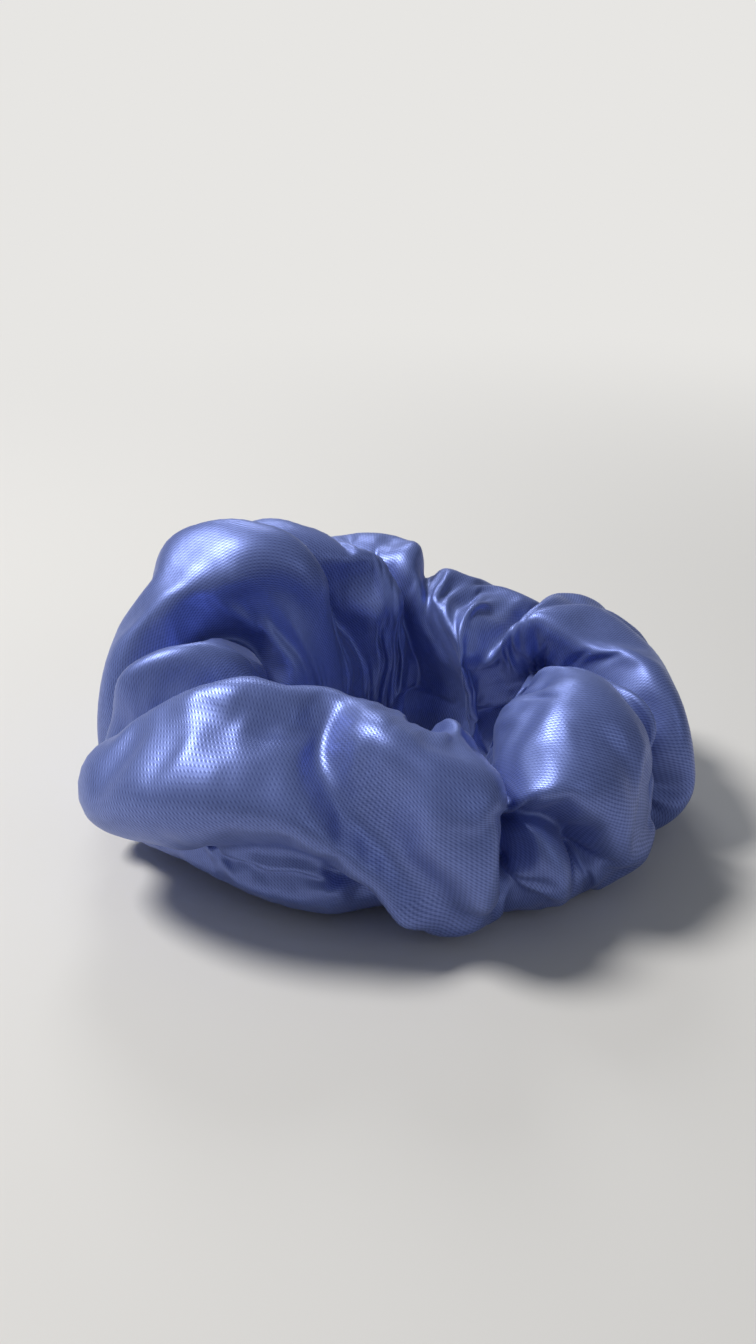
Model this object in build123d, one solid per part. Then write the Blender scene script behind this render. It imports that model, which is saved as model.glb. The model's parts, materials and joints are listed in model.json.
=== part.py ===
"""Satin scrunchie: a gathered tube of satin with a loop of flat elastic inside it.

Millimetres, +Z up. The scrunchie lies on z = 0, with the middle of its footprint at the origin. Hair goes through
the bore, whose axis is vertical and off the middle, because the gathers bunch unevenly round it. The loop stretches
along X. Its left half stays and its right half moves, so the satin cover is made as two halves that meet face to
face on the upright plane through the bore's axis. Every function works with the bore's axis at X = Y = 0.
"""

from build123d import *
import math
import os

# The satin tube: how far it reaches from the bore's axis, and how high it stands, at even steps round the bore.
REACH = (47, 43, 40, 43, 47, 53, 57, 65, 62, 56, 55, 50)
HEIGHT = (28, 26, 26, 31, 42, 48, 44, 41, 40, 40, 38, 34)
CLOTH = 0.3  # thickness of the satin
BORE_RADIUS = 17.0  # relaxed opening in the middle
TUBE_MIDDLE = 12.0  # height of the tube's middle above the table
TUCK = 2.5  # how far the tube's sections run in past the bore's wall before the bore trims them
SINK = 2.0  # how much of the underside the table presses flat

# The tube's seams. The satin is folded in along both, so each is two layers of cloth standing inside the tube.
ALLOWANCE = 5.0  # width of the seam allowances
STITCH_IN = 1.5  # from the cloth's fold to the stitch line
THREAD = 0.25  # sewing thread
CLOSING_ANGLE = 24.0  # where the ends of the tube are sewn together
SIDE_SEAM_CLEARANCE = 2.0  # how far short of the side seam's allowance its trimming cylinder stops

# The elastic: braid round rubber strands, its ends lapped and sewn.
BAND_WIDTH = 6.0
BAND_THICKNESS = 1.2
BAND_CLEARANCE = 3.1  # from the closing seam's allowance, on the bore's side
BAND_SEAT = 0.3  # clearance over the same allowance, which carries the band
STRANDS = 5
STRAND_DIAMETER = 0.6
STRAND_CLEARANCE = 0.02
LAP_START = 325.0  # the outer end of the band leaves the ring here
LAP_RISE = 20.0  # degrees that it takes to step out over the inner end
LAP_LENGTH = 30.0  # degrees that it then runs on, lying on the inner end for all that is past 360
LAP_GAP = 0.1
LAP_ROWS = 3
STITCH_LENGTH = 1.6

STEPS = len(REACH)
STEP_ANGLE = 360 / STEPS
ROOM = 400.0  # larger than the whole scrunchie, for cutting tools

inner_edge = BORE_RADIUS - TUCK
band_radius = BORE_RADIUS + CLOTH + ALLOWANCE + BAND_CLEARANCE + BAND_THICKNESS / 2
band_middle = CLOTH + ALLOWANCE + BAND_SEAT + BAND_WIDTH / 2
lap_step = BAND_THICKNESS + LAP_GAP


def tube_section(station, inset):
    """The tube cut by the upright plane at one station, with its edge moved in by inset."""
    reach = REACH[station % STEPS]
    half_width = (reach - inner_edge) / 2 - inset
    above = HEIGHT[station % STEPS] - TUBE_MIDDLE - inset
    below = TUBE_MIDDLE + SINK - inset
    with BuildSketch(Plane.XZ.rotated((0, 0, station * STEP_ANGLE))) as section:
        with BuildLine():
            middle = ((reach + inner_edge) / 2, TUBE_MIDDLE)
            EllipticalCenterArc(middle, half_width, above, start_angle=0, arc_size=180)
            EllipticalCenterArc(middle, half_width, below, start_angle=180, arc_size=180)
        make_face()
    return section.sketch.face()


def casing(inset):
    """The whole ring, solid, with its surface moved in by inset: lofted, pressed flat below, and bored."""
    half_turn = STEPS // 2
    back = loft([tube_section(i, inset) for i in range(half_turn + 1)])
    front = loft([tube_section(i, inset) for i in range(half_turn, STEPS + 1)])
    above_table = Pos(0, 0, inset) * Box(ROOM, ROOM, ROOM, align=(Align.CENTER, Align.CENTER, Align.MIN))
    return ((back + front) & above_table) - Cylinder(BORE_RADIUS + inset, ROOM)


def half_space(side):
    """Everything to one side of the plane that the loop opens on: side is -1 for the left, 1 for the right."""
    return Pos(side * ROOM / 2, 0, 0) * Box(ROOM, ROOM, ROOM)


def level_slab(bottom, thickness):
    """A level slab right across the scrunchie."""
    return Pos(0, 0, bottom) * Box(ROOM, ROOM, thickness, align=(Align.CENTER, Align.CENTER, Align.MIN))


def upright_slab(start, thickness):
    """An upright slab beside the plane of the closing seam, on the seam's side of the bore only."""
    slab = Pos(0, start, 0) * Box(ROOM, thickness, ROOM, align=(Align.MIN, Align.MIN, Align.CENTER))
    return Rot(0, 0, CLOSING_ANGLE) * slab


def inside_of_ring():
    """What lies nearer the bore than the side seam, which runs round the outside of the ring."""
    return Cylinder(min(REACH) - CLOTH - ALLOWANCE - SIDE_SEAM_CLEARANCE, ROOM)


def satin_halves():
    """The two halves of the satin tube, left then right, with the seam allowances folded inside."""
    inside = casing(CLOTH)
    shell = casing(0) - inside
    fold = inside - casing(CLOTH + ALLOWANCE)
    side_seam = (fold & level_slab(TUBE_MIDDLE - CLOTH, 2 * CLOTH)) - inside_of_ring()
    closing_seam = fold & upright_slab(-CLOTH, 2 * CLOTH)
    left, right = [(shell & half_space(side)) + (side_seam & half_space(side)) for side in (-1, 1)]
    return left, right + closing_seam


def side_seam_thread(line, bottom):
    """A thread laid along the side seam at that height. It stops at each side of the closing seam."""
    closing_gap = upright_slab(-CLOTH - THREAD, 2 * (CLOTH + THREAD))
    return (line & level_slab(bottom, THREAD)) - inside_of_ring() - closing_gap


def closing_seam_thread(line, start):
    """A thread laid round the closing seam, beside its two layers of cloth. It stops at the side seam."""
    side_gap = level_slab(TUBE_MIDDLE - CLOTH - THREAD, 2 * (CLOTH + THREAD)) - inside_of_ring()
    return (line & upright_slab(start, THREAD)) - side_gap


def on_ring(radius, angle, height):
    """A point at that angle round the bore."""
    turn = math.radians(angle)
    return Vector(radius * math.cos(turn), radius * math.sin(turn), height)


def band_path(height):
    """The elastic's line at that height: round the ring, out over its own start, and along it."""
    outside = band_radius + lap_step
    risen = LAP_START + LAP_RISE
    ends = [on_ring(band_radius, LAP_START, height), on_ring(outside, risen, height)]
    headings = [on_ring(1, LAP_START + 90, 0), on_ring(1, risen + 90, 0)]
    ring = CenterArc((0, 0, height), band_radius, 0, LAP_START)
    rise = Spline(*ends, tangents=headings)
    lap = CenterArc((0, 0, height), outside, risen, LAP_LENGTH)
    return Wire([ring, rise, lap])


def along_band(section, height):
    """The section swept along the elastic's line. It is drawn at the line's start, upright and facing along it."""
    start = Plane((band_radius, 0, height), x_dir=(1, 0, 0), z_dir=(0, 1, 0))
    return sweep(start * section, path=band_path(height))


def strand_heights():
    """Heights of the rubber strands, evenly spaced across the band."""
    pitch = BAND_WIDTH / STRANDS
    return [band_middle + (i - (STRANDS - 1) / 2) * pitch for i in range(STRANDS)]


def elastic_braid():
    """The woven band, with a tunnel for each rubber strand."""
    band = along_band(Rectangle(BAND_THICKNESS, BAND_WIDTH), band_middle)
    for height in strand_heights():
        band -= along_band(Circle(STRAND_DIAMETER / 2 + STRAND_CLEARANCE), height)
    return band


def rubber_strands():
    """The rubber that makes the band stretch."""
    return Compound([along_band(Circle(STRAND_DIAMETER / 2), height).solid() for height in strand_heights()])


def lap_stitch(angle, height):
    """One closed loop of thread round both layers of the lap, between two strands."""
    deep = lap_step + BAND_THICKNESS
    loop = Rectangle(deep + 2 * THREAD, STITCH_LENGTH + 2 * THREAD) - Rectangle(deep, STITCH_LENGTH)
    stitch = extrude(loop, THREAD / 2, both=True)
    return Rot(0, 0, angle) * Pos(band_radius + lap_step / 2, 0, height) * stitch


def lap_stitches():
    """Rows of stitches across the lap."""
    overlap = LAP_START + LAP_RISE + LAP_LENGTH - 360
    angles = [(row + 0.5) * overlap / LAP_ROWS for row in range(LAP_ROWS)]
    heights = [(low + high) / 2 for low, high in zip(strand_heights(), strand_heights()[1:])]
    return Compound([lap_stitch(angle, height).solid() for angle in angles for height in heights])


def main():
    left, right = satin_halves()
    line = casing(CLOTH + STITCH_IN) - casing(CLOTH + STITCH_IN + THREAD)
    stitches = lap_stitches()
    pieces = {
        "satin_cover_left": left,
        "satin_cover_right": right,
        "side_seam_needle_thread": side_seam_thread(line, TUBE_MIDDLE + CLOTH),
        "side_seam_bobbin_thread": side_seam_thread(line, TUBE_MIDDLE - CLOTH - THREAD),
        "closing_seam_needle_thread": closing_seam_thread(line, CLOTH),
        "closing_seam_bobbin_thread": closing_seam_thread(line, -CLOTH - THREAD),
        "elastic_braid": elastic_braid() - stitches,
        "rubber_strands": rubber_strands(),
        "lap_stitches": stitches,
    }
    low = left.bounding_box().min
    high = right.bounding_box().max
    depths = [edge.Y for half in (left, right) for edge in (half.bounding_box().min, half.bounding_box().max)]
    home = Pos(-(low.X + high.X) / 2, -(min(depths) + max(depths)) / 2, 0)
    os.makedirs("parts", exist_ok=True)
    for name, shape in pieces.items():
        export_step(home * shape, f"parts/{name}.step")
    print("bore axis at", home.position, "width", high.X - low.X, "depth", max(depths) - min(depths))


main()
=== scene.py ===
"""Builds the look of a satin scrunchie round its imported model: the gathered satin, its seams and the elastic.

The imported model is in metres. The cloth is shaped in millimetres round the bore's axis, and written in metres.
A place on the tube is two angles in degrees: one round the bore, from the right and anticlockwise seen from
above, and one round the tube, from its outermost line at 0 over the top at 90 to its innermost line at 180.
"""

import json
import math

import bpy
import numpy as np
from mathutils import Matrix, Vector


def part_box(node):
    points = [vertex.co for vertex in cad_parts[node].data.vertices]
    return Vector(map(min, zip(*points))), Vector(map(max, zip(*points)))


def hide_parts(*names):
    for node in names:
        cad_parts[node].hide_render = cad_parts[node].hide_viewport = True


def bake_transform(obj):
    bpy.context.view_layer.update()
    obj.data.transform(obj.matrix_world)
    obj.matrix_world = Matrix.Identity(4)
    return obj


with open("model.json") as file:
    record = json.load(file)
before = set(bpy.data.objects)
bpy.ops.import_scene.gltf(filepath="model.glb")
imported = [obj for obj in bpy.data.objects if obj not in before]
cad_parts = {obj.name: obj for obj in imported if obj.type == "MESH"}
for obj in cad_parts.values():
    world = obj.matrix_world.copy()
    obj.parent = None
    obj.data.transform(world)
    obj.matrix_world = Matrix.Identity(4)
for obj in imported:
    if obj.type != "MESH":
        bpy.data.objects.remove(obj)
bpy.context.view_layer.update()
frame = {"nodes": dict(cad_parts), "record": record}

bl_info = {
    "name": "Satin Scrunchie",
    "version": (1, 0, 0),
    "blender": (4, 5, 0),
    "location": "View3D > Sidebar > Scrunchie",
    "description": "Models a gathered satin scrunchie with its elastic and its seams, in a plain studio",
    "category": "Add Mesh",
}

MM = 0.001
OPENING = frame["record"]["physics"]["openings"][0]["box_m"]
BORE_X = (OPENING[0][0] + OPENING[1][0]) / 2 / MM
BORE_Y = (OPENING[0][1] + OPENING[1][1]) / 2 / MM
BORE_FOOT = np.array([BORE_X, BORE_Y, 0.0])
PALE = (0.80, 0.79, 0.77, 1)  # the background

# The seams' stitches, in mm and degrees.
STITCH = 1.9
STITCH_GAP = 0.5
THREAD_RADIUS = 0.13
SEAM_INSET = 0.7  # from the cloth's outside to the middle of a stitch
SIDE_SEAM_TURN = 308.0  # round the tube: low on its outside
CLOSING_SEAM_TURN = 24.0  # round the bore

# The elastic, in mm and degrees.
BAND_RADIUS = 26.0
BAND_THICKNESS = 1.2
BAND_ROWS = 41
BAND_STEP = 3.0
RIBS = 6
RIB_DEPTH = 0.12
LAP_START = 325.0
LAP_RISE = 20.0
LAP_END = 375.0
LAP_STEP = 1.3
STRANDS = 5
STRAND_RADIUS = 0.28

# The cloth's grid: stations round the bore, and points round the tube at each station.
STATIONS = 232
TUBE_POINTS = 48
TUBE_MIDDLE = 13.0  # mm, height of the tube's widest line
INNER_REACH = 14.0  # mm, how near the cloth comes to the bore's axis
BLEND_ANGLE = 13.0  # degrees over which one profile row fades into the next
SIDE_POWER = 0.9  # less than 1 fills out the tube's sides
TOP_POWER = 0.88  # less than 1 fills out its top
SLACK = 1.5  # mm that the cloth stands out from the tube before it is creased
UNEVENNESS = 0.5  # mm
GATHER_DEPTH = 3.2  # mm
GATHER_WIDTH = 1.9  # mm

# The settling.
SETTLE_SCALE = 10.0  # the cloth is settled at this many times its size
SETTLE_FRAMES = 18
SETTLE_LIMIT = 2.5 * MM  # the farthest that any point may move

# The tube before it is creased: angle round the bore, reach in mm from the bore's axis, and height in mm.
PROFILE = (
    (0, 49, 33), (20, 50, 37), (42, 47, 33), (60, 45, 32), (78, 46, 36), (97, 49, 42), (115, 51, 44),
    (133, 54, 48), (150, 56, 51), (166, 57, 47), (180, 58, 40), (195, 61, 36), (212, 63, 36), (230, 60, 39),
    (248, 57, 38), (268, 52, 35), (286, 56, 36), (304, 54, 36), (322, 53, 35), (340, 53, 34),
)

# Creases pressed into the tube: depth and width in mm, how far the cloth on the left of the line folds over it (less
# than 0 where it's the right), then the crease's line as places on the tube.
CREASES = (
    # Between the tall puff at the back left and the left puff, ending in a deep hollow.
    (13, 6, 5, ((185, -40), (184, 20), (181, 55), (179, 90), (181, 120), (188, 150), (190, 215))),
    # The tall puff's own fold, and the edge of its second panel over the dent behind it.
    (9, 4.5, -4, ((152, 66), (148, 95), (142, 118), (133, 138), (126, 160), (122, 210))),
    (11, 5.5, -4, ((124, 78), (111, 94), (98, 108), (86, 124), (88, 150), (94, 205))),
    (4, 3, 0, ((116, 96), (104, 116), (94, 136))),
    # The rim of that dent, and the small gathers behind the bore.
    (6, 4, 3, ((84, 40), (80, 80), (77, 115), (74, 150), (72, 205))),
    (7, 3.5, 2, ((62, 95), (62, 125), (61, 160), (60, 210))),
    (5, 3, 0, ((70, 118), (68, 165), (66, 200))),
    (8, 4, -2, ((46, 74), (43, 105), (46, 145), (48, 210))),
    # Under the hood at the right, out to the right tip.
    (15, 6, 7, ((34, 205), (27, 152), (15, 124), (4, 104), (355, 82), (346, 52), (341, 20), (339, -40))),
    (7, 4, 3, ((354, 165), (347, 116), (338, 90), (331, 58), (331, 22))),
    # The right front puff's hollow and the fold that crosses it.
    (16, 6, -3, ((300, 165), (293, 100), (290, 58), (288, 32), (287, 8), (287, -25))),
    (14, 5.5, 4, ((287, 38), (293, 37), (299, 27), (305, 10), (308, -15))),
    # The diagonal across the front.
    (7, 4.5, 0, ((248, 78), (252, 56), (258, 38), (266, 22), (272, 5), (276, -20))),
    # The left puff's valley, and the crease along its pleat.
    (13, 7, -3, ((202, 34), (207, 58), (212, 80), (213, 104), (206, 132), (200, 180))),
    (5, 2.5, 0, ((212, 36), (223, 52), (234, 64), (246, 72))),
    # Under the front arch.
    (12, 7, 2, ((210, -16), (222, -7), (234, 4), (245, 10), (254, 6), (260, -8), (263, -36))),
    (10, 11, 0, ((218, -34), (234, -18), (247, -20))),
    # Gathers at the front of the bore.
    (8, 4, 0, ((234, 108), (236, 150), (238, 205))),
    (9, 4.5, 3, ((272, 98), (267, 125), (266, 155), (265, 205))),
    (8, 4, 0, ((322, 112), (320, 160), (320, 205))),
    # The closing seam's pinch.
    (3, 2.2, 0, ((24, -60), (24, 40), (23, 90), (25, 115))),
    # Faint pulls across the puffs.
    (1.6, 2, 0, ((247, 74), (260, 52), (268, 30))),
    (1.6, 2, 0, ((158, 96), (167, 66), (171, 34))),
    (1.8, 2, 0, ((300, 76), (313, 50), (318, 18))),
    (1.6, 2, 0, ((206, 86), (199, 62), (196, 30))),
    (1.8, 2, 0, ((22, 74), (13, 42), (8, 8))),
    (1.6, 2, 0, ((131, 96), (136, 66), (140, 34))),
    (1.6, 2, 0, ((222, 44), (232, 50), (240, 62))),
)

# Small gathers into the bore, as angles round it in degrees.
GATHERS = (8, 38, 56, 70, 99, 112, 127, 147, 160, 172, 196, 205, 219, 229, 246, 256, 279, 288, 306, 313, 331, 347)

# Rolled ridges: height and width in mm, then the ridge's line.
RIDGES = (
    (3, 4, ((208, 24), (216, 46), (225, 60), (236, 76), (248, 90))),
    (3, 4, ((30, 130), (24, 112), (14, 94), (2, 78), (352, 55), (345, 30))),
    (4, 4, ((212, 8), (222, 22), (236, 30), (248, 28), (257, 18), (264, 4), (268, -14))),
    (3, 4, ((284, 66), (282, 32), (280, 5))),
    (3, 4, ((195, 50), (199, 80), (202, 104))),
    (2.5, 3.5, ((65, 112), (65, 150))),
    (2.5, 3.5, ((53, 108), (54, 150))),
    (3, 5, ((118, 112), (108, 130), (104, 160))),
    (3, 3.5, ((86, 84), (90, 96), (84, 118))),
    (2.5, 3, ((290, 60), (298, 46), (304, 30))),
    (3, 5, ((342, 104), (336, 76), (334, 50))),
    (4, 7, ((262, 70), (272, 52), (274, 30))),
    (3, 8, ((232, 60), (226, 40), (214, 22))),
    (3, 7, ((160, 60), (158, 90), (152, 118))),
)


class ClothSettings(bpy.types.PropertyGroup):
    """Sizes and colour of the satin."""

    color: bpy.props.FloatVectorProperty(
        name="Satin colour", description="Colour of the satin", default=(0.115, 0.165, 0.46),
        subtype="COLOR", min=0.0, max=1.0,
    )
    thread_color: bpy.props.FloatVectorProperty(
        name="Thread colour", description="Colour of the sewing thread", default=(0.11, 0.14, 0.40),
        subtype="COLOR", min=0.0, max=1.0,
    )
    pitch: bpy.props.FloatProperty(
        name="Weave pitch", description="Distance between the weave's floats", default=0.70 * MM, unit="LENGTH",
    )
    thickness: bpy.props.FloatProperty(
        name="Cloth thickness", description="Thickness of the satin", default=0.25 * MM, unit="LENGTH",
    )
    fullness: bpy.props.FloatProperty(
        name="Fullness", description="Spare cloth that the settling folds up", default=0.06,
        subtype="FACTOR", min=0.0, max=0.4,
    )


class ElasticSettings(bpy.types.PropertyGroup):
    """Sizes and colour of the elastic."""

    color: bpy.props.FloatVectorProperty(
        name="Braid colour", description="Colour of the braid", default=(0.80, 0.80, 0.77),
        subtype="COLOR", min=0.0, max=1.0,
    )
    rib_pitch: bpy.props.FloatProperty(
        name="Rib pitch", description="Distance between the braid's ribs", default=1.0 * MM, unit="LENGTH",
    )


# ---------------------------------------------------------------- materials


def new_material(name):
    """A material with a plain Principled shader, and its nodes, links and shader."""
    material = bpy.data.materials.new(name)
    material.use_nodes = True
    tree = material.node_tree
    return material, tree, tree.nodes["Principled BSDF"]


def math_node(tree, operation, first, second=0.0):
    """A Math node. Each input is a number or a socket."""
    node = tree.nodes.new("ShaderNodeMath")
    node.operation = operation
    for socket, value in zip(node.inputs, (first, second)):
        if isinstance(value, (int, float)):
            socket.default_value = value
        else:
            tree.links.new(value, socket)
    return node.outputs[0]


def two_tone(tree, shader, factor, dark, light, positions=(0.0, 1.0)):
    """Colours the shader between dark and light by a socket's value."""
    ramp = tree.nodes.new("ShaderNodeValToRGB")
    for element, color, position in zip(ramp.color_ramp.elements, (dark, light), positions):
        element.color = (*color, 1)
        element.position = position
    tree.links.new(factor, ramp.inputs[0])
    tree.links.new(ramp.outputs[0], shader.inputs["Base Color"])


def satin_material(cloth):
    """Satin: a diagonal twill of floats over a darker ground, with painted glints: the floats are coloured lighter
    and whiter where they would catch the light, over faint random tone.
    """
    material, tree, shader = new_material("satin")
    links = tree.links
    place = tree.nodes.new("ShaderNodeUVMap")
    place.uv_map = "cloth"
    split = tree.nodes.new("ShaderNodeSeparateXYZ")
    links.new(place.outputs[0], split.inputs[0])
    turns = 2 * math.pi / cloth.pitch
    along = math_node(tree, "MULTIPLY", split.outputs[0], turns)
    across = math_node(tree, "MULTIPLY", split.outputs[1], turns)
    rows = math_node(tree, "SINE", math_node(tree, "ADD", along, across))
    slanted = math_node(tree, "SUBTRACT", across, math_node(tree, "MULTIPLY", along, 0.25))
    floats = math_node(tree, "SINE", slanted)
    twill = math_node(tree, "ADD", rows, math_node(tree, "MULTIPLY", rows, floats))
    lattice = math_node(tree, "MULTIPLY_ADD", twill, 0.28)
    lattice.node.inputs[2].default_value = 0.5
    slub = tree.nodes.new("ShaderNodeTexNoise")
    slub.inputs["Scale"].default_value = 900.0
    slub.inputs["Detail"].default_value = 3.0
    links.new(place.outputs[0], slub.inputs["Vector"])
    cloud = tree.nodes.new("ShaderNodeTexNoise")
    cloud.inputs["Scale"].default_value = 45.0
    links.new(place.outputs[0], cloud.inputs["Vector"])
    amount = math_node(tree, "MULTIPLY", lattice, math_node(tree, "ADD", slub.outputs["Fac"], 0.5))
    # painted glints: the weave's floats are lifted towards a lighter, whiter colour for the light they catch; the
    # cloud noise adds only random tone
    painted_glints_and_tone = math_node(tree, "ADD", amount, math_node(tree, "MULTIPLY", cloud.outputs["Fac"], 0.2))
    r, g, b = cloth.color
    dark, light = (r * 0.72, g * 0.72, b * 0.76), (r * 1.7, g * 1.6, b * 1.35)
    two_tone(tree, shader, painted_glints_and_tone, dark, light, positions=(0.10, 0.95))
    rough = math_node(tree, "SUBTRACT", 0.55, math_node(tree, "MULTIPLY", amount, 0.18))
    links.new(rough, shader.inputs["Roughness"])
    bump = tree.nodes.new("ShaderNodeBump")
    bump.inputs["Strength"].default_value = 0.4
    bump.inputs["Distance"].default_value = 0.05 * MM
    links.new(amount, bump.inputs["Height"])
    links.new(bump.outputs[0], shader.inputs["Normal"])
    shader.inputs["Metallic"].default_value = 0.55
    shader.inputs["Specular IOR Level"].default_value = 0.7
    shader.inputs["Sheen Weight"].default_value = 0.12
    shader.inputs["Sheen Roughness"].default_value = 0.4
    shader.inputs["Sheen Tint"].default_value = (0.7, 0.78, 1.0, 1)
    return material


def thread_material(cloth):
    """Spun sewing thread: a fine twist over its colour, painted as lighter and darker bands for the light and shade
    along its plies.
    """
    material, tree, shader = new_material("sewing_thread")
    place = tree.nodes.new("ShaderNodeTexCoord")
    twist = tree.nodes.new("ShaderNodeTexWave")
    twist.bands_direction = "DIAGONAL"
    twist.inputs["Scale"].default_value = 1500.0
    tree.links.new(place.outputs["Object"], twist.inputs["Vector"])
    # painted light and shade: the twist's bands are the thread colour at 0.7 and 1.3 times
    dark, light = ([channel * share for channel in cloth.thread_color] for share in (0.7, 1.3))
    two_tone(tree, shader, twist.outputs["Fac"], dark, light)
    shader.inputs["Roughness"].default_value = 0.6
    return material


def braid_material(elastic):
    """Braided elastic: ribs along the band, crossed by fine picks, with painted shade darkening the grooves between
    them.
    """
    material, tree, shader = new_material("elastic_braid")
    place = tree.nodes.new("ShaderNodeUVMap")
    place.uv_map = "band"
    split = tree.nodes.new("ShaderNodeSeparateXYZ")
    tree.links.new(place.outputs[0], split.inputs[0])
    turns = 2 * math.pi / elastic.rib_pitch
    ribs = math_node(tree, "SINE", math_node(tree, "MULTIPLY", split.outputs[1], turns))
    picks = math_node(tree, "SINE", math_node(tree, "MULTIPLY", split.outputs[0], turns * 1.6))
    relief = math_node(tree, "ADD", ribs, math_node(tree, "MULTIPLY", picks, 0.5))
    height = math_node(tree, "MULTIPLY_ADD", relief, 0.3)
    height.node.inputs[2].default_value = 0.5
    # painted shade: the grooves between the ribs and picks are coloured darker, down to 0.7 of the braid's colour
    r, g, b = elastic.color
    two_tone(tree, shader, height, (r * 0.7, g * 0.7, b * 0.68), (r, g, b))
    bump = tree.nodes.new("ShaderNodeBump")
    bump.inputs["Distance"].default_value = 0.15 * MM
    tree.links.new(height, bump.inputs["Height"])
    tree.links.new(bump.outputs[0], shader.inputs["Normal"])
    shader.inputs["Roughness"].default_value = 0.75
    return material


def latex_material():
    """Natural rubber: pale, with faint mottling."""
    material, tree, shader = new_material("natural_rubber")
    place = tree.nodes.new("ShaderNodeTexCoord")
    mottle = tree.nodes.new("ShaderNodeTexNoise")
    mottle.inputs["Scale"].default_value = 600.0
    tree.links.new(place.outputs["Object"], mottle.inputs["Vector"])
    two_tone(tree, shader, mottle.outputs["Fac"], (0.52, 0.46, 0.33), (0.68, 0.62, 0.48))
    shader.inputs["Roughness"].default_value = 0.55
    return material


# ---------------------------------------------------------------- the tube's shape


def profile_at(ring):
    """Reach and height in mm at angles round the bore, in radians."""
    rows = np.array(PROFILE, float)
    apart = (np.degrees(ring)[..., None] - rows[:, 0] + 180) % 360 - 180
    weight = np.exp(-((apart / BLEND_ANGLE) ** 2))
    weight /= weight.sum(-1, keepdims=True)
    return weight @ rows[:, 1], weight @ rows[:, 2]


def on_tube(ring, tube):
    """Points on the smooth tube in mm, at angles in radians."""
    reach, height = profile_at(ring)
    half = (reach - INNER_REACH) / 2
    out, up = np.cos(tube), np.sin(tube)
    tall = np.where(up > 0, height - TUBE_MIDDLE, TUBE_MIDDLE)
    radius = (reach + INNER_REACH) / 2 + half * np.sign(out) * np.abs(out) ** SIDE_POWER
    z = TUBE_MIDDLE + tall * np.where(up > 0, np.abs(up) ** TOP_POWER, up)
    return np.stack([radius * np.cos(ring), radius * np.sin(ring), z], axis=-1)


def line_on_tube(places, steps=14):
    """Points in mm along a line through places on the tube, given in degrees."""
    marks = np.radians(np.array(places, float))
    marks[:, 0] = np.unwrap(marks[:, 0])
    fine = np.linspace(0, len(marks) - 1, (len(marks) - 1) * steps + 1)
    whole = np.arange(len(marks))
    return on_tube(np.interp(fine, whole, marks[:, 0]), np.interp(fine, whole, marks[:, 1]))


def nearest_on(points, line):
    """For each point, its distance in mm to the nearest mark on a line, that mark, and the line's heading there."""
    headings = np.gradient(line, axis=0)
    headings /= np.linalg.norm(headings, axis=1, keepdims=True)
    nearest = np.full(points.shape[:-1], np.inf)
    which = np.zeros(points.shape[:-1], int)
    for i, mark in enumerate(line):
        away = np.linalg.norm(points - mark, axis=-1)
        which[away < nearest] = i
        nearest = np.minimum(nearest, away)
    return nearest, line[which], headings[which]


def outward(points):
    """Unit normals of a grid that closes both ways."""
    round_bore = np.roll(points, -1, 0) - np.roll(points, 1, 0)
    round_tube = np.roll(points, -1, 1) - np.roll(points, 1, 1)
    normals = np.cross(round_bore, round_tube)
    return normals / np.maximum(np.linalg.norm(normals, axis=-1, keepdims=True), 1e-9)


def smoothed(points, times):
    """The grid after each point has moved halfway to the middle of its neighbours, that many times."""
    for _ in range(times):
        around = sum(np.roll(points, step, axis) for step in (-1, 1) for axis in (0, 1)) / 4
        points = (points + around) / 2
    return points


def creased_tube():
    """The creased tube in mm, as stations by tube points, and how firmly its creases hold each point, 0 to 1."""
    ring, tube = np.meshgrid(
        np.linspace(0, 2 * np.pi, STATIONS, endpoint=False),
        np.linspace(0, 2 * np.pi, TUBE_POINTS, endpoint=False),
        indexing="ij",
    )
    points = on_tube(ring, tube)
    normals = outward(points)
    pressed = np.zeros(ring.shape)
    raised = np.full(ring.shape, SLACK)
    folded = np.zeros(points.shape)
    firm = np.zeros(ring.shape)
    for depth, width, over, places in CREASES:
        away, mark, heading = nearest_on(points, line_on_tube(places))
        pressed += (depth * np.exp(-((away / width) ** 1.2))) ** 3
        firm = np.maximum(firm, np.exp(-((away / (0.6 * width)) ** 2)))
        left = np.cross(normals, heading)
        side = np.sign((left * (points - mark)).sum(-1)) * np.sign(over)
        crest = np.exp(-(((away - 1.3 * width) / (0.9 * width)) ** 2)) * (side > 0)
        folded -= left * (over * crest)[..., None]
        raised += 0.35 * abs(over) * crest
    for k, at in enumerate(GATHERS):
        places = ((at - 4 + 4 * (k % 3), 122 - 12 * (k % 4)), (at, 152), (at, 206))
        away = nearest_on(points, line_on_tube(places))[0]
        pressed += (GATHER_DEPTH * np.exp(-((away / GATHER_WIDTH) ** 1.4))) ** 3
    for height, width, places in RIDGES:
        away = nearest_on(points, line_on_tube(places))[0]
        raised += height * np.exp(-((away / width) ** 2))
    raised += UNEVENNESS * (
        np.sin(3 * ring + 2 * tube) + np.sin(5 * ring - 3 * tube + 1.3) + 0.8 * np.sin(11 * ring + 2 * tube + 0.4)
    )
    points = smoothed(points + normals * (raised - np.cbrt(pressed))[..., None] + folded, 1)
    points[..., 2] = np.maximum(points[..., 2], 0.0)
    return points, firm


def grid_faces(stations, around):
    """Faces of a grid that closes both ways."""
    return [
        (i * around + j, (i + 1) % stations * around + j,
         (i + 1) % stations * around + (j + 1) % around, i * around + (j + 1) % around)
        for i in range(stations) for j in range(around)
    ]


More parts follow.
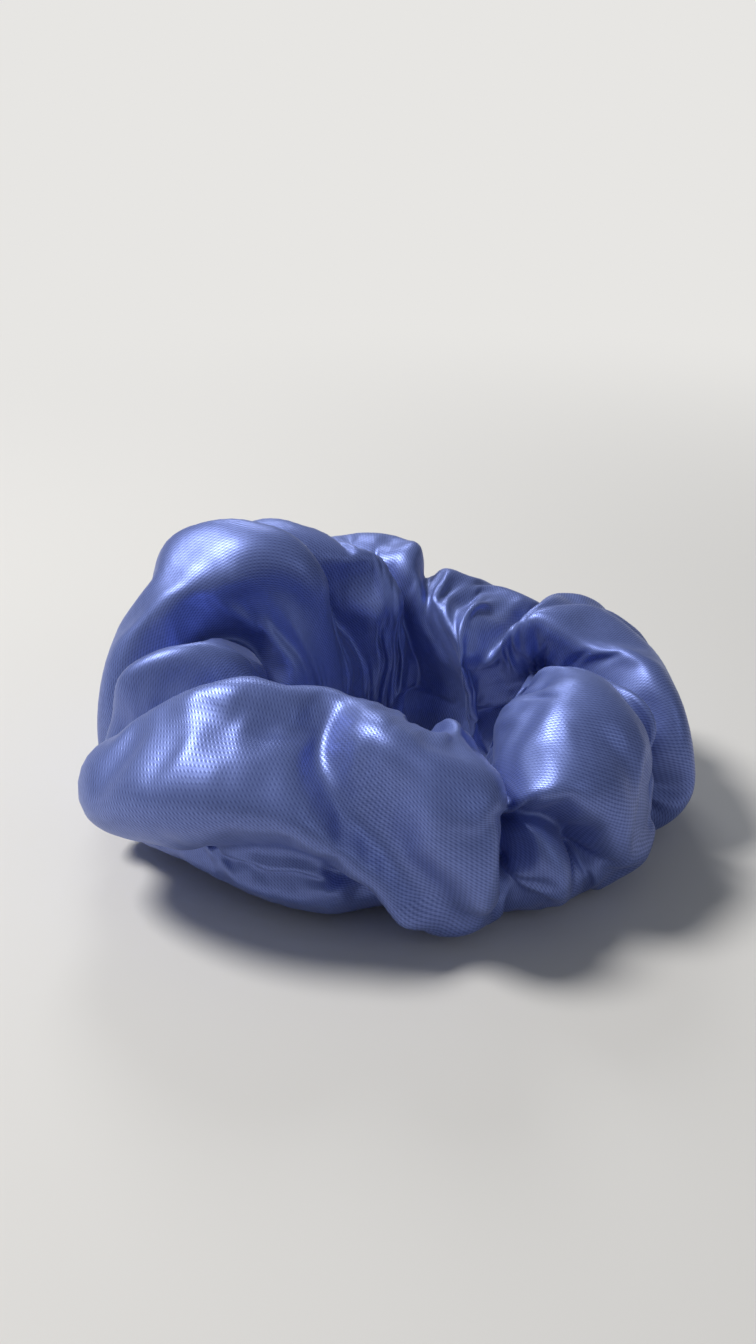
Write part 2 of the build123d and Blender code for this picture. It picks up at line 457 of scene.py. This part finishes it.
def lay_uv(mesh, points, pitch):
    """Gives the cloth its own flat coordinates in metres, whole numbers of the weave's pitch each way."""
    steps = np.linalg.norm(np.roll(points, -1, 0) - points, axis=-1)
    lengths = steps[:, TUBE_POINTS // 12: TUBE_POINTS // 3].mean(1) * MM
    along = np.concatenate([[0], np.cumsum(lengths)])
    girth = np.linalg.norm(np.roll(points, -1, 1) - points, axis=-1).mean(0) * MM
    across = np.concatenate([[0], np.cumsum(girth)])
    repeat = 4 * pitch
    along *= round(along[-1] / repeat) * repeat / along[-1]
    across *= round(across[-1] / repeat) * repeat / across[-1]
    layer = mesh.uv_layers.new(name="cloth")
    flat = np.array([
        (along[i + di], across[j + dj])
        for i in range(STATIONS) for j in range(TUBE_POINTS)
        for di, dj in ((0, 0), (1, 0), (1, 1), (0, 1))
    ])
    layer.data.foreach_set("uv", flat.astype(np.float32).ravel())


def link_mesh(name, vertices, faces):
    """A new object from vertices in metres and faces."""
    mesh = bpy.data.meshes.new(name)
    mesh.from_pydata([tuple(v) for v in vertices], [], faces)
    mesh.update()
    obj = bpy.data.objects.new(name, mesh)
    bpy.context.collection.objects.link(obj)
    return obj


def only(obj):
    """Selects this object alone and makes it active."""
    bpy.ops.object.select_all(action="DESELECT")
    obj.select_set(True)
    bpy.context.view_layer.objects.active = obj


def face_outward(obj):
    """Turns all of the object's faces outward."""
    only(obj)
    bpy.ops.object.mode_set(mode="EDIT")
    bpy.ops.mesh.select_all(action="SELECT")
    bpy.ops.mesh.normals_make_consistent(inside=False)
    bpy.ops.object.mode_set(mode="OBJECT")


def in_frame(points):
    """Points in mm round the bore's axis, moved to their place in the frame, in metres."""
    return (points + BORE_FOOT) * MM


def settle(obj, firm, fullness):
    """Lets a little spare cloth fold up by itself, with the creases, the bore and the underside held."""
    start = np.array([v.co for v in obj.data.vertices])
    obj.data.vertices.foreach_set("co", (start * SETTLE_SCALE).astype(np.float32).ravel())
    held = obj.vertex_groups.new(name="held")
    turn = 360 * np.arange(TUBE_POINTS) / TUBE_POINTS
    inner_and_under = np.clip(np.minimum((turn - 165) / 30, (320 - turn) / 30), 0, 1)
    grip = np.maximum(firm, inner_and_under[None]).ravel()
    for index in np.flatnonzero(grip > 0.05):
        held.add([int(index)], float(grip[index]), "REPLACE")
    only(obj)
    cloth = obj.modifiers.new("settle", "CLOTH")
    settings = cloth.settings
    settings.quality = 6
    settings.mass = 0.2
    settings.air_damping = 3.0
    settings.tension_stiffness = settings.compression_stiffness = 20.0
    settings.shear_stiffness = 8.0
    settings.bending_stiffness = 0.8
    settings.tension_damping = settings.compression_damping = settings.shear_damping = 5.0
    settings.bending_damping = 1.0
    settings.vertex_group_mass = "held"
    settings.pin_stiffness = 3.0
    settings.shrink_min = -fullness
    settings.use_pressure = True
    settings.uniform_pressure_force = 0.04
    settings.effector_weights.gravity = 0.0
    cloth.collision_settings.use_collision = False
    cloth.collision_settings.use_self_collision = True
    cloth.collision_settings.self_distance_min = 0.006
    cloth.collision_settings.collision_quality = 3
    cloth.point_cache.frame_start, cloth.point_cache.frame_end = 1, SETTLE_FRAMES
    scene = bpy.context.scene
    for step in range(1, SETTLE_FRAMES + 1):
        scene.frame_set(step)
    bpy.ops.object.modifier_apply(modifier=cloth.name)
    scene.frame_set(1)
    obj.vertex_groups.clear()
    moved = np.array([v.co for v in obj.data.vertices]) / SETTLE_SCALE - start
    far = np.linalg.norm(moved, axis=1, keepdims=True)
    moved *= np.minimum(1.0, SETTLE_LIMIT / np.maximum(far, 1e-9))
    settled = start + moved
    settled[:, 2] = np.maximum(settled[:, 2], 0.0)
    obj.data.vertices.foreach_set("co", settled.astype(np.float32).ravel())
    obj.data.update()


def add_applied(obj, kind, **values):
    """Adds a modifier with these values and applies it."""
    only(obj)
    modifier = obj.modifiers.new(kind.lower(), kind)
    for name, value in values.items():
        setattr(modifier, name, value)
    bpy.ops.object.modifier_apply(modifier=modifier.name)


def across_joint(piece):
    """Bakes the piece's place into its mesh."""
    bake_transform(piece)


def grid_of(cover):
    """The settled cloth's points in mm, as stations by tube points."""
    points = np.array([v.co for v in cover.data.vertices]) / MM
    return points.reshape(STATIONS, TUBE_POINTS, 3)


def tubes(name, lines, radius, sides=8):
    """One object of round tubes along lines of points in mm, with closed ends."""
    vertices, faces = [], []
    turns = np.linspace(0, 2 * np.pi, sides, endpoint=False)
    for line in lines:
        line = np.array(line, float)
        heading = np.gradient(line, axis=0)
        heading /= np.linalg.norm(heading, axis=1, keepdims=True)
        first = np.cross(heading, (0.0, 0.0, 1.0))
        first += 1e-6
        first /= np.linalg.norm(first, axis=1, keepdims=True)
        second = np.cross(heading, first)
        start = len(vertices)
        for k, middle in enumerate(line):
            swell = 0.7 if k in (0, len(line) - 1) else 1.0
            for turn in turns:
                spoke = np.cos(turn) * first[k] + np.sin(turn) * second[k]
                vertices.append((middle + swell * radius * spoke) * MM)
        for k in range(len(line) - 1):
            for n in range(sides):
                low, high = start + k * sides, start + (k + 1) * sides
                after = (n + 1) % sides
                faces.append((low + n, high + n, high + after, low + after))
        faces.append(tuple(start + n for n in range(sides)))
        faces.append(tuple(start + (len(line) - 1) * sides + n for n in reversed(range(sides))))
    obj = link_mesh(name, vertices, faces)
    face_outward(obj)
    obj.data.polygons.foreach_set("use_smooth", [True] * len(obj.data.polygons))
    return obj


def stitch_lines(path, stitch, gap):
    """Short lines of points in mm, one for each stitch along a path of points."""
    steps = np.linalg.norm(np.diff(path, axis=0), axis=1)
    reached = np.concatenate([[0], np.cumsum(steps)])
    lines = []
    for start in np.arange(0, reached[-1] - stitch, stitch + gap):
        marks = start + np.linspace(0, stitch, 4)
        lines.append(np.stack([np.interp(marks, reached, path[:, axis]) for axis in range(3)], axis=1))
    return lines


def seam_stitches(name, path, cloth, nodes):
    """A row of sewing stitches along a path inside the cover, in place of a seam's two plain threads."""
    stitches = tubes(name, stitch_lines(path, STITCH, STITCH_GAP), THREAD_RADIUS)
    stitches.data.materials.append(thread_material(cloth))
    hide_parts(*nodes)
    across_joint(stitches)


class OBJECT_OT_satin_cover(bpy.types.Operator):
    """Makes the gathered satin tube and the stitches of its two seams"""

    bl_idname = "scrunchie.satin_cover"
    bl_label = "Satin cover and seams"

    def execute(self, context):
        cloth = context.scene.scrunchie_cloth
        points, firm = creased_tube()
        cover = link_mesh("satin_cover", in_frame(points).reshape(-1, 3), grid_faces(STATIONS, TUBE_POINTS))
        lay_uv(cover.data, points, cloth.pitch)
        settle(cover, firm, cloth.fullness)
        settled = grid_of(cover)
        inside = settled - outward(settled) * SEAM_INSET
        add_applied(cover, "SUBSURF", levels=1, render_levels=1)
        add_applied(cover, "SOLIDIFY", thickness=cloth.thickness, offset=-1.0)
        cover.data.materials.append(satin_material(cloth))
        cover.data.polygons.foreach_set("use_smooth", [True] * len(cover.data.polygons))
        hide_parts("satin_cover_left", "satin_cover_right")
        across_joint(cover)
        side = inside[:, round(SIDE_SEAM_TURN / 360 * TUBE_POINTS)]
        closing = inside[round(CLOSING_SEAM_TURN / 360 * STATIONS)]
        seam_stitches("side_seam_stitches", side, cloth, ("side_seam_needle_thread", "side_seam_bobbin_thread"))
        seam_stitches(
            "closing_seam_stitches", closing, cloth, ("closing_seam_needle_thread", "closing_seam_bobbin_thread")
        )
        return {"FINISHED"}


def band_line(height):
    """The elastic's line in mm at that height: round the ring, then out over its own start."""
    turns = np.radians(np.arange(0.0, LAP_END + 1.0, BAND_STEP))
    rise = np.clip((np.degrees(turns) - LAP_START) / LAP_RISE, 0, 1)
    radius = BAND_RADIUS + LAP_STEP * rise * rise * (3 - 2 * rise)
    places = np.stack([radius * np.cos(turns), radius * np.sin(turns), np.full(turns.shape, height)], axis=1)
    return places + BORE_FOOT


def ribbed_band(bottom, width):
    """The braided band as one closed mesh, from its lower edge's height and its width in mm."""
    middle = band_line(bottom)
    away = middle - np.array([BORE_X, BORE_Y, bottom])
    away /= np.linalg.norm(away, axis=1, keepdims=True)
    rows = np.linspace(0, 1, BAND_ROWS)
    half = BAND_THICKNESS / 2 - RIB_DEPTH * (0.5 + 0.5 * np.cos(2 * np.pi * RIBS * rows))
    outer = [(h, r * width) for h, r in zip(half, rows)]
    outline = outer + [(-h, up) for h, up in reversed(outer)]
    count = len(outline)
    vertices = [
        (middle[k] + out * away[k] + np.array([0.0, 0.0, up])) * MM
        for k in range(len(middle)) for out, up in outline
    ]
    faces = [
        (k * count + n, (k + 1) * count + n, (k + 1) * count + (n + 1) % count, k * count + (n + 1) % count)
        for k in range(len(middle) - 1) for n in range(count)
    ]
    faces.append(tuple(reversed(range(count))))
    faces.append(tuple((len(middle) - 1) * count + n for n in range(count)))
    band = link_mesh("elastic_band", vertices, faces)
    layer = band.data.uv_layers.new(name="band")
    for loop in band.data.loops:
        k, n = divmod(loop.vertex_index, count)
        layer.data[loop.index].uv = (k * math.radians(BAND_STEP) * BAND_RADIUS * MM, outline[n][1] * MM)
    face_outward(band)
    return band


class OBJECT_OT_elastic(bpy.types.Operator):
    """Makes the braided band with its ribs and the rubber strands in it, and gives the stitches of its lap the
    thread's material
    """

    bl_idname = "scrunchie.elastic"
    bl_label = "Elastic"

    def execute(self, context):
        low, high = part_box("elastic_braid")
        bottom, width = low[2] / MM, (high[2] - low[2]) / MM
        band = ribbed_band(bottom, width)
        band.data.materials.append(braid_material(context.scene.scrunchie_elastic))
        bpy.ops.object.shade_smooth_by_angle(angle=math.radians(50.0))
        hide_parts("elastic_braid")
        across_joint(band)
        heights = [bottom + (n + 0.5) * width / STRANDS for n in range(STRANDS)]
        strands = tubes("rubber_core", [band_line(height) for height in heights], STRAND_RADIUS)
        strands.data.materials.append(latex_material())
        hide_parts("rubber_strands")
        across_joint(strands)
        lap = frame["nodes"]["lap_stitches"]
        lap.data.materials.clear()
        lap.data.materials.append(thread_material(context.scene.scrunchie_cloth))
        return {"FINISHED"}


class OBJECT_OT_studio(bpy.types.Operator):
    """Makes the floor, the lights and the camera"""

    bl_idname = "scrunchie.studio"
    bl_label = "Studio"

    def execute(self, context):
        floor_and_backdrop()
        lights()
        camera()
        return {"FINISHED"}


def seen_directly(tree):
    """1 where a camera ray arrives, else 0."""
    return tree.nodes.new("ShaderNodeLightPath").outputs["Is Camera Ray"]


def floor_and_backdrop():
    """A pale floor that fades into a plain pale background of the same colour."""
    bpy.ops.object.select_all(action="DESELECT")
    bpy.ops.mesh.primitive_plane_add(size=8.0, location=(0, 0, -0.0003))
    floor = bpy.context.object
    floor.name = "floor"
    material, tree, shader = new_material("pale_floor")
    shader.inputs["Base Color"].default_value = (0.70, 0.69, 0.67, 1)
    shader.inputs["Roughness"].default_value = 0.7
    place = tree.nodes.new("ShaderNodeTexCoord")
    length = tree.nodes.new("ShaderNodeVectorMath")
    length.operation = "LENGTH"
    tree.links.new(place.outputs["Object"], length.inputs[0])
    far = tree.nodes.new("ShaderNodeMapRange")
    far.interpolation_type = "SMOOTHSTEP"
    far.inputs["From Min"].default_value = 0.10
    far.inputs["From Max"].default_value = 0.45
    tree.links.new(length.outputs["Value"], far.inputs["Value"])
    glow = tree.nodes.new("ShaderNodeEmission")
    glow.inputs["Color"].default_value = PALE
    mix = tree.nodes.new("ShaderNodeMixShader")
    tree.links.new(math_node(tree, "MULTIPLY", far.outputs[0], seen_directly(tree)), mix.inputs[0])
    tree.links.new(shader.outputs[0], mix.inputs[1])
    tree.links.new(glow.outputs[0], mix.inputs[2])
    tree.links.new(mix.outputs[0], tree.nodes["Material Output"].inputs["Surface"])
    floor.data.materials.append(material)
    world = bpy.data.worlds.new("plain_sky")
    world.use_nodes = True
    tree = world.node_tree
    soft = tree.nodes["Background"]
    soft.inputs["Color"].default_value = (0.80, 0.84, 0.90, 1)
    soft.inputs["Strength"].default_value = 0.20
    plain = tree.nodes.new("ShaderNodeBackground")
    plain.inputs["Color"].default_value = PALE
    mix = tree.nodes.new("ShaderNodeMixShader")
    tree.links.new(seen_directly(tree), mix.inputs[0])
    tree.links.new(soft.outputs[0], mix.inputs[1])
    tree.links.new(plain.outputs[0], mix.inputs[2])
    tree.links.new(mix.outputs[0], tree.nodes["World Output"].inputs["Surface"])
    bpy.context.scene.world = world


def area_light(name, place, target, size, power, color):
    """A soft round lamp that points from its place to a target."""
    lamp = bpy.data.lights.new(name, "AREA")
    lamp.shape = "DISK"
    lamp.size = size
    lamp.energy = power
    lamp.color = color
    obj = bpy.data.objects.new(name, lamp)
    obj.location = place
    obj.rotation_euler = (Vector(target) - Vector(place)).to_track_quat("-Z", "Y").to_euler()
    bpy.context.collection.objects.link(obj)


def lights():
    """A large soft key at the upper left, a weak fill at the right and a rim from behind."""
    middle = (0, 0, 0.02)
    area_light("key", (-0.45, 0.05, 0.70), middle, 0.26, 6.0, (1.0, 0.98, 0.95))
    area_light("fill", (0.70, -0.60, 0.50), middle, 0.50, 0.6, (0.90, 0.94, 1.0))
    area_light("rim", (-0.10, 0.70, 0.55), middle, 0.30, 1.6, (0.95, 0.97, 1.0))


def camera():
    """The camera, a little above the scrunchie and looking along +Y."""
    data = bpy.data.cameras.new("camera")
    data.sensor_fit = "VERTICAL"
    data.sensor_height = 36.0
    data.lens = 37.5
    data.clip_start = 0.01
    obj = bpy.data.objects.new("camera", data)
    away, climb = 0.262, math.radians(28.0)
    obj.location = (0.0, -away * math.cos(climb), 0.020 + away * math.sin(climb))
    obj.rotation_euler = (math.radians(90.0 - 25.9), 0.0, math.radians(-0.39))
    bpy.context.collection.objects.link(obj)
    bpy.context.scene.camera = obj
    bpy.context.scene.view_settings.view_transform = "Standard"


OPERATORS = (OBJECT_OT_elastic, OBJECT_OT_satin_cover, OBJECT_OT_studio)


class VIEW3D_PT_scrunchie(bpy.types.Panel):
    """Lists the steps that make the scrunchie"""

    bl_label = "Scrunchie"
    bl_idname = "VIEW3D_PT_scrunchie"
    bl_space_type = "VIEW_3D"
    bl_region_type = "UI"
    bl_category = "Scrunchie"

    def draw(self, context):
        for step in OPERATORS:
            self.layout.operator(step.bl_idname)


CLASSES = (ClothSettings, ElasticSettings) + OPERATORS + (VIEW3D_PT_scrunchie,)


def register():
    """Registers the classes and the settings."""
    for item in CLASSES:
        bpy.utils.register_class(item)
    bpy.types.Scene.scrunchie_cloth = bpy.props.PointerProperty(type=ClothSettings)
    bpy.types.Scene.scrunchie_elastic = bpy.props.PointerProperty(type=ElasticSettings)


def unregister():
    """Removes the settings and the classes."""
    del bpy.types.Scene.scrunchie_elastic
    del bpy.types.Scene.scrunchie_cloth
    for item in reversed(CLASSES):
        bpy.utils.unregister_class(item)


def main():
    """Makes everything, in order."""
    register()
    bpy.ops.scrunchie.elastic()
    bpy.ops.scrunchie.satin_cover()
    bpy.ops.scrunchie.studio()


if __name__ == "__main__":
    main()
